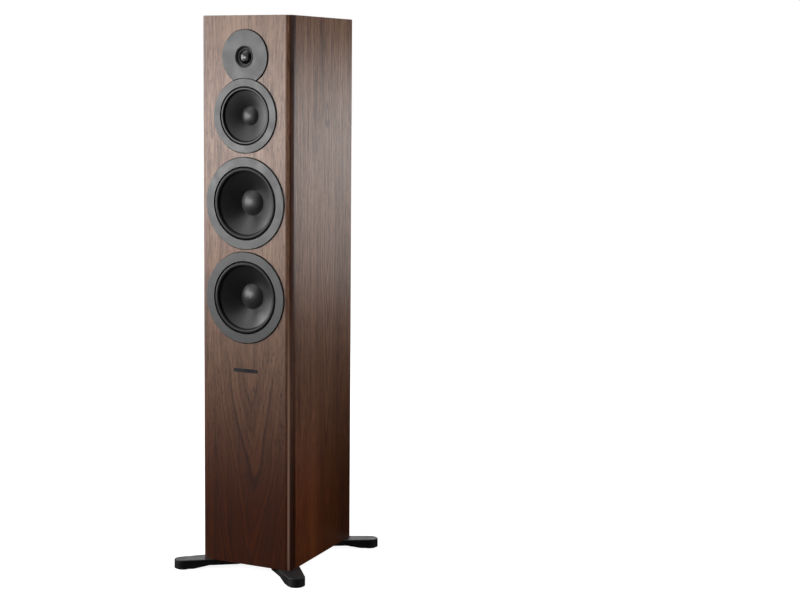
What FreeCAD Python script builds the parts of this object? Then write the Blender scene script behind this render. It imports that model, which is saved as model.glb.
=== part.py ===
import FreeCAD, Part
import math
import os
from types import SimpleNamespace

# A floorstanding loudspeaker: a tapered cabinet with a tweeter, a midrange and two woofers in its
# baffle, reflex ports and binding posts at its back, and four outrigger feet with levelling pads.
# Millimetres, +Z up, the floor at Z = 0. The front faces -Y and the origin is the centre of the
# footprint. "Depth" is the distance behind the baffle's front plane, and a "drop" is measured
# down from the cabinet's top.

# ---- Cabinet ----
CABINET_HEIGHT = 1100.0
CABINET_DEPTH = 307.0
FRONT_WIDTH = 215.0
REAR_WIDTH = 124.0
FLOOR_CLEARANCE = 20.0       # the cabinet's underside above the floor
BAFFLE_THICKNESS = 22.0
WALL = 18.0
FRONT_CORNER_R = 12.5
TOP_EDGE_R = 1.0
BRACE_THICKNESS = 18.0
BRACE_RIM = 20.0
WINDOW_MARGIN = 1.6          # a brace window's room beside a port and a cable
LOWER_BRACE_DROP = 120.0     # second brace below the lower woofer's axis
BASE_BRACE_HEIGHT = 180.0    # third brace above the cabinet's underside
CHAMBER_DEPTH = 180.0        # front of the partition behind the midrange

# ---- Drivers ----
TWEETER_DROP = 81.1
MIDRANGE_DROP = 196.9
UPPER_WOOFER_DROP = 369.7
LOWER_WOOFER_DROP = 557.5
TRIM_PROUD = 3.0             # trim rings and face plate ahead of the baffle
TRIM_BACK = 1.0              # depth of a trim ring's back face, where the basket's flange starts
TRIM_OUTER_ROUND = 1.2
TRIM_INNER_ROUND = 0.6
SHADOW_GAP = 1.2             # round each trim ring, to the wall of its recess
FLANGE_THICKNESS = 4.0
FLANGE_INSET = 2.5           # a flange's rim inside its trim ring's rim
LIP_WIDTH = 5.0              # the surround's outer lip, held under the trim ring
LIP_TUCK = 2.0               # the cone's rim under the surround's inner lip
ROLL_GAP = 0.6               # the roll's foot to the trim ring's opening
RUBBER = 0.8
CONE_THICKNESS = 1.2
CAP_THICKNESS = 0.8
SOFT_GAP = 0.3               # round each rubber or fabric piece
HOLE_GAP = 1.0               # a basket or motor to its hole in the baffle
BASKET_WALL = 4.0
BASKET_WINDOWS = 6
SEAT_THICKNESS = 4.0
FORMER_THICKNESS = 0.5
WINDING_THICKNESS = 1.6
COIL_GAP = 0.6
SPIDER_THICKNESS = 0.6
SPIDER_RIPPLE = 1.0
SPIDER_RIPPLES = 6
VENT_R = 5.0

WOOFER = SimpleNamespace(
    trim_r=91.4, opening_r=72.9, cone_r=62.0, roll_height=4.6, cap_r=25.6, cap_depth=25.0,
    cap_rise=8.0, coil_r=19.0, neck_depth=30.0, ledge_r=50.0, ledge_depth=50.0, seat_depth=60.0,
    plate_thickness=8.0, magnet_r=50.0, magnet_thickness=20.0, window_width=40.0, travel=6.0,
    screws=8)
MIDRANGE = SimpleNamespace(
    trim_r=73.5, opening_r=57.9, cone_r=49.4, roll_height=4.0, cap_r=19.0, cap_depth=18.0,
    cap_rise=6.0, coil_r=12.8, neck_depth=22.4, ledge_r=38.0, ledge_depth=42.0, seat_depth=50.0,
    plate_thickness=6.0, magnet_r=40.0, magnet_thickness=13.0, window_width=30.0, travel=3.0,
    screws=6)

# ---- Tweeter ----
PLATE_R = 53.5
PLATE_BACK = 5.0
THROAT_R = 21.8
THROAT_STEP_R = 19.8
THROAT_INNER_R = 17.4
THROAT_STEP_DEPTH = -0.9
THROAT_LIP = 0.7             # height of the throat's step and of its inner edge
THROAT_BACK = 1.5
DOME_R = 14.0
DOME_RISE = 4.6
DOME_THICKNESS = 0.4
DOME_BASE = 2.2
TWEETER_ROLL_R = 1.3
TWEETER_RUBBER = 0.4
TWEETER_COIL_R = 13.4
TWEETER_FORMER = 0.3
TWEETER_WINDING = 0.6
TWEETER_PLATE_THICKNESS = 4.0
TWEETER_MAGNET_R = 36.0
TWEETER_MAGNET_THICKNESS = 8.0
REAR_CHAMBER_DEPTH = 18.0
REAR_CHAMBER_WALL = 2.5
TWEETER_SCREW_R = 44.0
TWEETER_SCREWS = 3

# ---- Screws, bolts and cable ----
SCREW_R = 2.0
SCREW_HEAD_R = 3.2
SCREW_HEAD_HEIGHT = 1.8
SCREW_LENGTH = 16.0
HEAD_CLEARANCE = 0.2
BOLT_R = 3.0
BOLT_HEAD_R = 5.0
BOLT_HEAD_HEIGHT = 4.0
BOLT_REACH = 14.0            # into the bottom panel
CABLE_R = 2.0
CABLE_GAP = 0.3
ARC_SHARE = 0.45             # a cable's bend radius as a share of its shorter run
RISER_RUN = 50.0             # from a woofer's back to its cable's riser
RISER_STEP = 10.0            # from the woofers' risers to the ones behind
LEAD_RUN = 45.0              # from a binding post's tail to its lead's drop

# ---- Reflex ports ----
PORT_R = 27.0
PORT_WALL = 3.0
PORT_LENGTH = 130.0
PORT_MOUTH_R = 33.0
PORT_BARREL_WALL = 0.5       # the flare's thinnest wall, at the mouth
PORT_FLARE_LENGTH = 25.0
PORT_FLANGE_R = 38.0
PORT_FLANGE_THICKNESS = 2.5
PORT_DROPS = (380.0, 560.0)

# ---- Badge ----
BADGE_DROP = 704.0
BADGE_WIDTH = 56.0
BADGE_HEIGHT = 7.5
BADGE_THICKNESS = 1.2

# ---- Binding posts ----
TERMINAL_HEIGHT = 250.0      # plate's centre above the cabinet's underside
TERMINAL_WIDTH = 76.0
TERMINAL_SPAN = 92.0
TERMINAL_THICKNESS = 3.0
TERMINAL_CORNER_R = 8.0
TERMINAL_MARGIN = 11.0       # plate beyond its cut-out, and the screws' circle centres
POST_SPREAD = 30.0           # between the two posts
POST_R = 3.0
POST_TAIL = 30.0             # post's inner end ahead of the cabinet's back
POST_REACH = 23.0            # post's outer end behind the cabinet's back
PLUG_BORE_R = 2.05
PLUG_BORE_DEPTH = 20.0
THREAD_GAP = 0.05            # running clearance of each screw thread and pivot
INSULATOR_R = 8.5
INSULATOR_THICKNESS = 2.0
POST_NUT_R = 6.0
POST_NUT_THICKNESS = 4.0
COLLAR_R = 7.0
COLLAR_THICKNESS = 3.0
KNOB_R = 8.0
KNOB_LENGTH = 18.0
KNOB_FLUTES = 12
FLUTE_R = 1.0

# ---- Crossover ----
BOARD_WIDTH = 80.0
BOARD_LENGTH = 170.0
BOARD_THICKNESS = 1.6
BOARD_REAR_GAP = 45.0        # board's rear edge to the rear panel
STANDOFF_R = 4.0
STANDOFF_HEIGHT = 8.0
STANDOFF_INSET = 7.0
INDUCTORS = ((22.0, 24.0, 26.0), (16.0, 18.0, 68.0))      # radius, height, place along the board
CAPACITORS = ((9.0, 46.0, 96.0), (7.0, 40.0, 114.0), (5.0, 30.0, 128.0))   # radius, length, place
RESISTORS = ((3.0, 24.0, 137.0),)                         # radius, length, place

# ---- Feet ----
FRONT_TIP_OUT = 28.5         # tip's centre outside the cabinet's front corner
FRONT_TIP_AHEAD = 25.0       # tip's centre ahead of the baffle
REAR_TIP_OUT = 41.0          # tip's centre outside the cabinet's rear corner
REAR_TIP_BEHIND = 14.0       # tip's centre behind the rear panel
TIP_R = 18.0
FRONT_ARM = SimpleNamespace(angle=45.0, length=105.0, root_r=27.0)
REAR_ARM = SimpleNamespace(angle=33.0, length=85.0, root_r=22.5)
ARM_UNDERSIDE = 8.0
TIP_UNDERSIDE = 2.0
TIP_FLAT = 18.0              # where the underside starts to rise from the tip
ARM_SLOPE = 32.0             # length over which it rises
ARM_EDGE_R = 2.0
BOLT_SPREAD = 13.0           # each arm's two bolts either side of its root's centre
PAD_R = 14.0
PAD_THICKNESS = 4.0
PAD_GAP = 0.5
WHEEL_R = 12.0
WHEEL_THICKNESS = 2.7
WHEEL_GAP = 0.3
STUD_R = 4.0
STUD_TOP = 18.0
STUD_PIN_R = 3.0
STUD_PIN_DEPTH = 2.4
STUD_HOLE_TOP = 18.5
WHEEL_FLUTES = 16

# ---- Derived places ----
FRONT_REACH = FRONT_TIP_AHEAD + TIP_R
REAR_REACH = CABINET_DEPTH + REAR_TIP_BEHIND + TIP_R
FRONT_Y = (FRONT_REACH - REAR_REACH) / 2
BASE_Z = FLOOR_CLEARANCE
TOP_Z = FLOOR_CLEARANCE + CABINET_HEIGHT
REAR_INNER = CABINET_DEPTH - WALL
RECESS_DEPTH = TRIM_BACK + FLANGE_THICKNESS
LIP_FRONT = TRIM_BACK + SOFT_GAP
LIP_BACK = LIP_FRONT + RUBBER
CONE_FRONT = LIP_BACK + SOFT_GAP
WINDOW_HALF = PORT_R + PORT_WALL + 2 * CABLE_R + WINDOW_MARGIN
RISER_X = WINDOW_HALF - CABLE_GAP - CABLE_R
TERMINAL_Z = BASE_Z + TERMINAL_HEIGHT
BOARD_REAR = REAR_INNER - BOARD_REAR_GAP
BOARD_TOP = BASE_Z + WALL + STANDOFF_HEIGHT + BOARD_THICKNESS

V = FreeCAD.Vector
BACKWARDS = V(0, 1, 0)
UPWARDS = V(0, 0, 1)
FULL_TURN = 360.0
HALF = math.sqrt(0.5)           # sine and cosine of half a right angle
CUT = 1.0                       # how far a cutting solid runs past the face that it cuts


# ---- Helpers ----
def at(x, depth, z):
    """A point from its place across, its depth behind the baffle's front and its height."""
    return V(x, FRONT_Y + depth, z)


def driver_z(drop):
    return TOP_Z - drop


def half_width(depth):
    """Half the cabinet's outer width at a depth."""
    return (FRONT_WIDTH - (FRONT_WIDTH - REAR_WIDTH) * depth / CABINET_DEPTH) / 2


def inner_half_width(depth):
    taper = math.atan((FRONT_WIDTH - REAR_WIDTH) / 2 / CABINET_DEPTH)
    return half_width(depth) - WALL / math.cos(taper)


def outline(place, steps):
    """Closed face through the steps. A step is a point, or a pair: a point on an arc and its end."""
    edges = []
    here = place(*steps[0])
    for step in list(steps[1:]) + [steps[0]]:
        if isinstance(step[0], tuple):
            end = place(*step[1])
            edges.append(Part.Arc(here, place(*step[0]), end).toShape())
        else:
            end = place(*step)
            if (end - here).Length > 0:
                edges.append(Part.makeLine(here, end))
        here = end
    return Part.Face(Part.Wire(edges))


def turned(z, steps, x=0.0):
    """Solid turned about a depthwise axis at (x, z), from (radius, depth) steps."""
    face = outline(lambda r, depth: at(x + r, depth, z), steps)
    return face.revolve(at(x, 0, z), BACKWARDS, FULL_TURN)


def disc(r, front, back, z, x=0.0):
    return Part.makeCylinder(r, back - front, at(x, front, z), BACKWARDS)


def ring(inner_r, outer_r, front, back, z, x=0.0):
    return disc(outer_r, front, back, z, x).cut(disc(inner_r, front, back, z, x))


def post(r, bottom, top, x, y):
    return Part.makeCylinder(r, top - bottom, V(x, y, bottom), UPWARDS)


def plan_prism(points, bottom, top):
    face = outline(lambda x, depth: at(x, depth, bottom), points)
    return face.extrude(UPWARDS * (top - bottom))


def block(x0, x1, front, back, bottom, top):
    return Part.makeBox(x1 - x0, back - front, top - bottom, at(x0, front, bottom))


def inner_prism(front, back, bottom, top):
    """The tapered space between the side panels, from one depth to another."""
    near = inner_half_width(front)
    far = inner_half_width(back)
    return plan_prism([(-near, front), (near, front), (far, back), (-far, back)], bottom, top)


def edges_where(shape, test):
    return [e for e in shape.Edges if all(test(v.Point) for v in e.Vertexes)]


def round_the_axis(count, start=0.0):
    """(x, z) directions of evenly spaced places round a driver's axis."""
    for i in range(count):
        angle = 2 * math.pi * i / count + start
        yield math.cos(angle), math.sin(angle)


def save(name, *solids):
    """Write one sub-part, keeping each of its pieces a separate solid."""
    pieces = [s for shape in solids for s in shape.Solids]
    shape = pieces[0] if len(pieces) == 1 else Part.makeCompound(pieces)
    shape.exportStep("parts/" + name + ".step")


# ---- Cabinet ----
def cabinet_block():
    """The cabinet's outer form, solid, with its rounded front corners and top edges."""
    near = FRONT_WIDTH / 2
    far = REAR_WIDTH / 2
    plan = [(-near, 0), (near, 0), (far, CABINET_DEPTH), (-far, CABINET_DEPTH)]
    form = plan_prism(plan, BASE_Z, TOP_Z)
    corners = [e for e in edges_where(form, lambda p: p.y < FRONT_Y + 1) if e.Length > FRONT_WIDTH]
    form = form.makeFillet(FRONT_CORNER_R, corners)
    return form.makeFillet(TOP_EDGE_R, edges_where(form, lambda p: p.z > TOP_Z - TOP_EDGE_R / 2))


def drivers():
    """Each cone driver's name, sizes and axis height."""
    yield "midrange", MIDRANGE, driver_z(MIDRANGE_DROP)
    yield "woofer_upper", WOOFER, driver_z(UPPER_WOOFER_DROP)
    yield "woofer_lower", WOOFER, driver_z(LOWER_WOOFER_DROP)


def hole_r(d):
    """The baffle's hole for a driver's basket."""
    return d.opening_r + LIP_WIDTH


def screw_places(d, z):
    """(x, z) of the screws through a basket's flange."""
    r = (hole_r(d) + d.trim_r - FLANGE_INSET) / 2
    for across, up in round_the_axis(d.screws, math.pi / d.screws):
        yield r * across, z + r * up


def tweeter_screw_places():
    z = driver_z(TWEETER_DROP)
    for across, up in round_the_axis(TWEETER_SCREWS, math.pi / 2):
        yield TWEETER_SCREW_R * across, z + TWEETER_SCREW_R * up


def front_baffle(form):
    width = FRONT_WIDTH
    baffle = form.common(block(-width, width, -CUT, BAFFLE_THICKNESS, BASE_Z, TOP_Z))
    cuts = []
    for _, d, z in drivers():
        cuts.append(disc(d.trim_r + SHADOW_GAP, -CUT, RECESS_DEPTH, z))
        cuts.append(disc(hole_r(d), -CUT, BAFFLE_THICKNESS + CUT, z))
        for x, zs in screw_places(d, z):
            cuts.append(disc(SCREW_R, 0, screw_front() + SCREW_HEAD_HEIGHT + SCREW_LENGTH, zs, x))
    z = driver_z(TWEETER_DROP)
    cuts.append(disc(PLATE_R + SHADOW_GAP, -CUT, PLATE_BACK, z))
    cuts.append(disc(TWEETER_MAGNET_R + HOLE_GAP, -CUT, BAFFLE_THICKNESS + CUT, z))
    for x, zs in tweeter_screw_places():
        cuts.append(disc(SCREW_R, 0, BAFFLE_THICKNESS + CUT, zs, x))
    return baffle.cut(cuts)


def foot_bolt_holes():
    return [post(BOLT_R, BASE_Z - CUT, BASE_Z + BOLT_REACH, x, y) for x, y in foot_bolt_places()]


def side_panels(form):
    far = CABINET_DEPTH + CUT
    sides = form.common(block(-FRONT_WIDTH, FRONT_WIDTH, BAFFLE_THICKNESS, far, BASE_Z, TOP_Z))
    room = inner_prism(BAFFLE_THICKNESS - CUT, far, BASE_Z - CUT, TOP_Z + CUT)
    sides = sides.cut([room] + foot_bolt_holes())
    return sorted(sides.Solids, key=lambda s: s.CenterOfMass.x)


def rear_panel(form):
    panel = form.common(inner_prism(REAR_INNER, CABINET_DEPTH, BASE_Z, TOP_Z))
    reach = CABINET_DEPTH + CUT
    for drop in PORT_DROPS:
        panel = panel.cut(disc(port_barrel_r(), REAR_INNER - CUT, reach, driver_z(drop)))
    wide = TERMINAL_WIDTH / 2 - TERMINAL_MARGIN
    tall = TERMINAL_SPAN / 2 - TERMINAL_MARGIN
    low, high = TERMINAL_Z - tall, TERMINAL_Z + tall
    cut_out = block(-wide, wide, REAR_INNER - CUT, reach, low, high)
    holes = [disc(SCREW_R, REAR_INNER, reach, z, x) for x, z in terminal_screw_places()]
    return panel.cut([cut_out] + holes)


def bottom_panel():
    panel = inner_prism(BAFFLE_THICKNESS, REAR_INNER, BASE_Z, BASE_Z + WALL)
    return panel.cut(foot_bolt_holes())


def shelf_z():
    """The chamber's floor, midway between the midrange's and the upper woofer's trim rings."""
    above = driver_z(MIDRANGE_DROP) - MIDRANGE.trim_r
    below = driver_z(UPPER_WOOFER_DROP) + WOOFER.trim_r
    return (above + below) / 2


def window_braces():
    lower = driver_z(LOWER_WOOFER_DROP)
    between_woofers = (driver_z(UPPER_WOOFER_DROP) + lower) / 2
    middles = [between_woofers, lower - LOWER_BRACE_DROP, BASE_Z + BASE_BRACE_HEIGHT]
    back = REAR_INNER - BRACE_RIM
    for z in middles:
        low, high = z - BRACE_THICKNESS / 2, z + BRACE_THICKNESS / 2
        brace = inner_prism(BAFFLE_THICKNESS, back, low, high)
        front = BAFFLE_THICKNESS + BRACE_RIM
        window = block(-WINDOW_HALF, WINDOW_HALF, front, back - BRACE_RIM, low - CUT, high + CUT)
        yield brace.cut([window, lead_slot()])


def lead_slot():
    """Room for the posts' leads, for a brace whose rim comes to their height."""
    half = CABLE_R + CABLE_GAP
    left, right = post_places()
    front, back = lead_depth() - half, CABINET_DEPTH - POST_TAIL + CUT
    return block(left - half, right + half, front, back, TERMINAL_Z - LEAD_RUN, TERMINAL_Z + half)


def midrange_chamber():
    """Shelf and partition that close a volume of their own behind the midrange and tweeter."""
    low = shelf_z() - BRACE_THICKNESS / 2
    high = shelf_z() + BRACE_THICKNESS / 2
    back = CHAMBER_DEPTH + BRACE_THICKNESS
    shelf = inner_prism(BAFFLE_THICKNESS, back, low, high)
    partition = inner_prism(CHAMBER_DEPTH, back, high, TOP_Z - WALL)
    chamber = shelf.fuse(partition).removeSplitter()
    holes = []
    for name, x, depth in risers():
        if name in ("midrange", "tweeter"):
            y = at(0, depth, 0).y
            holes.append(post(CABLE_R + CABLE_GAP, low - CUT, high + CUT, x, y))
    return chamber.cut(holes)


def port_barrel_r():
    """A port's outer radius where its flare passes through the rear panel."""
    return PORT_MOUTH_R + PORT_BARREL_WALL


def port_tube(drop):
    mouth = CABINET_DEPTH + PORT_FLANGE_THICKNESS
    flare_start = mouth - PORT_FLARE_LENGTH
    widening = PORT_MOUTH_R - PORT_R
    flare_r = (widening ** 2 + PORT_FLARE_LENGTH ** 2) / 2 / widening
    half_way = PORT_FLARE_LENGTH / 2
    mid_r = PORT_R + flare_r - math.sqrt(flare_r ** 2 - half_way ** 2)
    outer_r = PORT_R + PORT_WALL
    return turned(driver_z(drop), [
        (PORT_R, CABINET_DEPTH - PORT_LENGTH),
        (outer_r, CABINET_DEPTH - PORT_LENGTH),
        (outer_r, REAR_INNER - PORT_WALL),
        (port_barrel_r(), REAR_INNER),
        (port_barrel_r(), CABINET_DEPTH),
        (PORT_FLANGE_R, CABINET_DEPTH),
        (PORT_FLANGE_R, mouth),
        (PORT_MOUTH_R, mouth),
        ((mid_r, flare_start + half_way), (PORT_R, flare_start)),
    ])


def badge_plate():
    """A bare pill-shaped plate on the baffle."""
    z = driver_z(BADGE_DROP)
    r = BADGE_HEIGHT / 2
    straight = BADGE_WIDTH / 2 - r
    face = outline(lambda x, h: at(x, -BADGE_THICKNESS, z + h), [
        (-straight, -r), (straight, -r), ((straight + r, 0), (straight, r)), (-straight, r),
        ((-straight - r, 0), (-straight, -r))])
    return face.extrude(BACKWARDS * BADGE_THICKNESS)


# ---- Cone drivers ----
def coil_middle(d):
    return d.seat_depth + d.plate_thickness / 2


def winding_half(d):
    """Half an overhung winding's length: it still fills the gap at full travel."""
    return d.plate_thickness / 2 + d.travel


def gap_r(d):
    """The magnetic gap's outer wall."""
    return d.coil_r + WINDING_THICKNESS + COIL_GAP


def trim_ring(d, z):
    front = -TRIM_PROUD
    outer_cut = TRIM_OUTER_ROUND * (1 - HALF)
    inner_cut = TRIM_INNER_ROUND * (1 - HALF)
    return turned(z, [
        (d.opening_r, TRIM_BACK),
        (d.trim_r, TRIM_BACK),
        (d.trim_r, front + TRIM_OUTER_ROUND),
        ((d.trim_r - outer_cut, front + outer_cut), (d.trim_r - TRIM_OUTER_ROUND, front)),
        (d.opening_r + TRIM_INNER_ROUND, front),
        ((d.opening_r + inner_cut, front + inner_cut), (d.opening_r, front + TRIM_INNER_ROUND)),
    ])


def screw_front():
    """Depth of a driver screw's head, let into its flange under the trim ring."""
    return TRIM_BACK + HEAD_CLEARANCE


def basket(d, z):
    """Cast frame: flange, spoked wall, the spider's ledge and the seat of the magnet."""
    floor_r = d.ledge_r - LIP_WIDTH
    inner_wall_r = d.ledge_r + 2 * SOFT_GAP
    frame = turned(z, [
        (d.opening_r, CONE_FRONT),
        (hole_r(d), CONE_FRONT),
        (hole_r(d), TRIM_BACK),
        (d.trim_r - FLANGE_INSET, TRIM_BACK),
        (d.trim_r - FLANGE_INSET, RECESS_DEPTH),
        (hole_r(d) - HOLE_GAP, RECESS_DEPTH),
        (inner_wall_r + BASKET_WALL, d.ledge_depth - 2 * BASKET_WALL),
        (inner_wall_r + BASKET_WALL, d.seat_depth),
        (gap_r(d), d.seat_depth),
        (gap_r(d), d.seat_depth - SEAT_THICKNESS),
        (floor_r, d.seat_depth - SEAT_THICKNESS),
        (floor_r, d.ledge_depth),
        (inner_wall_r, d.ledge_depth),
        (inner_wall_r, d.ledge_depth - 2 * BASKET_WALL),
    ])
    cuts = []
    half = d.window_width / 2
    front = BAFFLE_THICKNESS + HOLE_GAP
    back = d.ledge_depth - 2 * BASKET_WALL - HOLE_GAP
    for i in range(BASKET_WINDOWS):
        window = block(0, d.trim_r, front, back, z - half, z + half)
        window.rotate(at(0, 0, z), BACKWARDS, FULL_TURN * (i + 0.5) / BASKET_WINDOWS)
        cuts.append(window)
    head_back = screw_front() + SCREW_HEAD_HEIGHT
    for x, zs in screw_places(d, z):
        cuts.append(disc(SCREW_HEAD_R + HEAD_CLEARANCE, 0, head_back, zs, x))
        cuts.append(disc(SCREW_R, 0, RECESS_DEPTH + CUT, zs, x))
    return frame.cut(cuts)


def motor(d, z):
    """Top plate, ring magnet, and the back plate with its vented pole."""
    plate_r = d.magnet_r - BASKET_WALL / 2
    plate_back = d.seat_depth + d.plate_thickness
    magnet_back = plate_back + d.magnet_thickness
    back = magnet_back + d.plate_thickness
    pole_r = d.coil_r - FORMER_THICKNESS - COIL_GAP
    top_plate = ring(gap_r(d), plate_r, d.seat_depth, plate_back, z)
    magnet = ring(gap_r(d) + BASKET_WALL, d.magnet_r, plate_back, magnet_back, z)
    yoke = turned(z, [
        (VENT_R, d.seat_depth), (pole_r, d.seat_depth), (pole_r, magnet_back),
        (plate_r, magnet_back), (plate_r, back), (VENT_R, back)])
    return top_plate, magnet, yoke


def motor_back(d):
    return d.seat_depth + 2 * d.plate_thickness + d.magnet_thickness


def surround(d, z):
    """Half-roll of rubber with a lip each side."""
    foot_out = d.opening_r - ROLL_GAP
    foot_in = d.cone_r + ROLL_GAP
    middle = (foot_out + foot_in) / 2
    crest = LIP_FRONT - d.roll_height
    return turned(z, [
        (d.cone_r, LIP_BACK),
        (d.cone_r, LIP_FRONT),
        (foot_in, LIP_FRONT),
        ((middle, crest), (foot_out, LIP_FRONT)),
        (hole_r(d) - SOFT_GAP, LIP_FRONT),
        (hole_r(d) - SOFT_GAP, LIP_BACK),
        (foot_out - RUBBER, LIP_BACK),
        ((middle, crest + RUBBER), (foot_in + RUBBER, LIP_BACK)),
    ])


def spider(d, z):
    """Rippled disc that centres the coil, between the former and the basket's ledge."""
    inner_r = d.coil_r + SOFT_GAP
    step = (d.ledge_r - inner_r) / (2 * SPIDER_RIPPLES)
    back = d.ledge_depth - SOFT_GAP - SPIDER_RIPPLE
    front = back - SPIDER_THICKNESS
    steps = [(inner_r, front)]
    for i in range(2 * SPIDER_RIPPLES):
        r = inner_r + step * i
        side = -SPIDER_RIPPLE if i % 2 else SPIDER_RIPPLE
        steps.append(((r + step / 2, front + side), (r + step, front)))
    steps.append((d.ledge_r, back))
    for i in reversed(range(2 * SPIDER_RIPPLES)):
        r = inner_r + step * i
        side = -SPIDER_RIPPLE if i % 2 else SPIDER_RIPPLE
        steps.append(((r + step / 2, back + side), (r, back)))
    return turned(z, steps)


def cone(d, z):
    """Curved cone with a flat rim, and the domed cap bonded to it."""
    rim = d.cone_r + LIP_TUCK
    shell = turned(z, [
        (d.coil_r, d.neck_depth),
        ((d.cap_r, d.cap_depth), (d.cone_r, CONE_FRONT)),
        (rim, CONE_FRONT),
        (rim, CONE_FRONT + CONE_THICKNESS),
        (d.cone_r, CONE_FRONT + CONE_THICKNESS),
        ((d.cap_r, d.cap_depth + CONE_THICKNESS), (d.coil_r, d.neck_depth + CONE_THICKNESS)),
    ])
    return shell, dome_shell(d.cap_r, d.cap_depth, d.cap_rise, CAP_THICKNESS, z)


def dome_shell(r, base, rise, thickness, z):
    """Thin spherical cap that bulges forwards from a rim of radius r."""
    def arc_middle(rim_r, height):
        sphere_r = (rim_r ** 2 + height ** 2) / 2 / height
        half = rim_r / 2
        return half, base - height + sphere_r - math.sqrt(sphere_r ** 2 - half ** 2)
    inner_r = r - thickness
    inner_rise = rise - thickness
    return turned(z, [
        (0, base - rise),
        (arc_middle(r, rise), (r, base)),
        (inner_r, base),
        (arc_middle(inner_r, inner_rise), (0, base - inner_rise)),
    ])


def voice_coil(d, z):
    middle = coil_middle(d)
    half = winding_half(d)
    former = ring(d.coil_r - FORMER_THICKNESS, d.coil_r, d.neck_depth, middle + half, z)
    winding = ring(d.coil_r, d.coil_r + WINDING_THICKNESS, middle - half, middle + half, z)
    return former, winding


# ---- Tweeter ----
def tweeter_faceplate():
    """Face plate, cut away below round the midrange's trim ring, and its stepped throat."""
    z = driver_z(TWEETER_DROP)
    front = -TRIM_PROUD
    cut = TRIM_OUTER_ROUND * (1 - HALF)
    plate = turned(z, [
        (THROAT_R, PLATE_BACK), (PLATE_R, PLATE_BACK), (PLATE_R, front + TRIM_OUTER_ROUND),
        ((PLATE_R - cut, front + cut), (PLATE_R - TRIM_OUTER_ROUND, front)), (THROAT_R, front)])
    neighbour = disc(MIDRANGE.trim_r + SHADOW_GAP, front - CUT, PLATE_BACK + CUT,
                     driver_z(MIDRANGE_DROP))
    screws = [disc(SCREW_R, TRIM_BACK, PLATE_BACK + CUT, zs, x) for x, zs in tweeter_screw_places()]
    throat = turned(z, [
        (THROAT_INNER_R, THROAT_BACK), (THROAT_INNER_R, THROAT_BACK - THROAT_LIP),
        (THROAT_STEP_R, THROAT_STEP_DEPTH), (THROAT_STEP_R, THROAT_STEP_DEPTH - THROAT_LIP),
        (THROAT_R, front + THROAT_LIP), (THROAT_R, THROAT_BACK)])
    return plate.cut([neighbour] + screws), throat


def tweeter_dome():
    """The dome, with the coil that it carries."""
    z = driver_z(TWEETER_DROP)
    dome = dome_shell(DOME_R, DOME_BASE, DOME_RISE, DOME_THICKNESS, z)
    inner_r = TWEETER_COIL_R - TWEETER_FORMER
    coil_back = PLATE_BACK + TWEETER_PLATE_THICKNESS + TRIM_BACK
    skirt = ring(inner_r, DOME_R, DOME_BASE, DOME_BASE + DOME_THICKNESS, z)
    former = ring(inner_r, TWEETER_COIL_R, DOME_BASE + DOME_THICKNESS, coil_back, z)
    winding_r = TWEETER_COIL_R + TWEETER_WINDING
    winding = ring(TWEETER_COIL_R, winding_r, PLATE_BACK - TRIM_BACK, coil_back, z)
    return dome, skirt, former, winding


def tweeter_surround():
    foot_in = DOME_R + SOFT_GAP
    foot_out = foot_in + 2 * TWEETER_ROLL_R
    middle = foot_in + TWEETER_ROLL_R
    back = THROAT_BACK + SOFT_GAP + TWEETER_RUBBER
    front = back - TWEETER_RUBBER
    return turned(driver_z(TWEETER_DROP), [
        (foot_in, back), (foot_in, front),
        ((middle, front - TWEETER_ROLL_R), (foot_out, front)), (tweeter_lip_r(), front),
        (tweeter_lip_r(), back), (foot_out - TWEETER_RUBBER, back),
        ((middle, back - TWEETER_ROLL_R), (foot_in + TWEETER_RUBBER, back))])


def tweeter_lip_r():
    return THROAT_R - SOFT_GAP


def tweeter_gap_r():
    return TWEETER_COIL_R + TWEETER_WINDING + COIL_GAP


def tweeter_motor():
    """Seat ring of the surround, top plate, magnet, and the yoke with its vented pole."""
    z = driver_z(TWEETER_DROP)
    seat_front = THROAT_BACK + TWEETER_RUBBER + 2 * SOFT_GAP
    plate_back = PLATE_BACK + TWEETER_PLATE_THICKNESS
    magnet_back = plate_back + TWEETER_MAGNET_THICKNESS
    plate_r = TWEETER_MAGNET_R - HOLE_GAP
    pole_r = TWEETER_COIL_R - TWEETER_FORMER - COIL_GAP
    seat = ring(tweeter_gap_r() + 2 * TWEETER_ROLL_R, tweeter_lip_r(), seat_front, PLATE_BACK, z)
    top_plate = ring(tweeter_gap_r(), plate_r, PLATE_BACK, plate_back, z)
    magnet = ring(tweeter_gap_r() + BASKET_WALL, TWEETER_MAGNET_R, plate_back, magnet_back, z)
    yoke = turned(z, [
        (VENT_R, PLATE_BACK), (pole_r, PLATE_BACK), (pole_r, magnet_back),
        (plate_r, magnet_back), (plate_r, tweeter_motor_back()), (VENT_R, tweeter_motor_back())])
    return seat, top_plate, magnet, yoke


def tweeter_motor_back():
    return PLATE_BACK + 2 * TWEETER_PLATE_THICKNESS + TWEETER_MAGNET_THICKNESS


def tweeter_chamber_r():
    return TWEETER_MAGNET_R - HOLE_GAP


def tweeter_rear_chamber():
    """Closed cup on the yoke's back."""
    front = tweeter_motor_back()
    back = front + REAR_CHAMBER_DEPTH
    outer = tweeter_chamber_r()
    inner = outer - REAR_CHAMBER_WALL
    return turned(driver_z(TWEETER_DROP), [
        (inner, front), (outer, front), (outer, back), (0, back),
        (0, back - REAR_CHAMBER_WALL), (inner, back - REAR_CHAMBER_WALL)])


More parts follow.
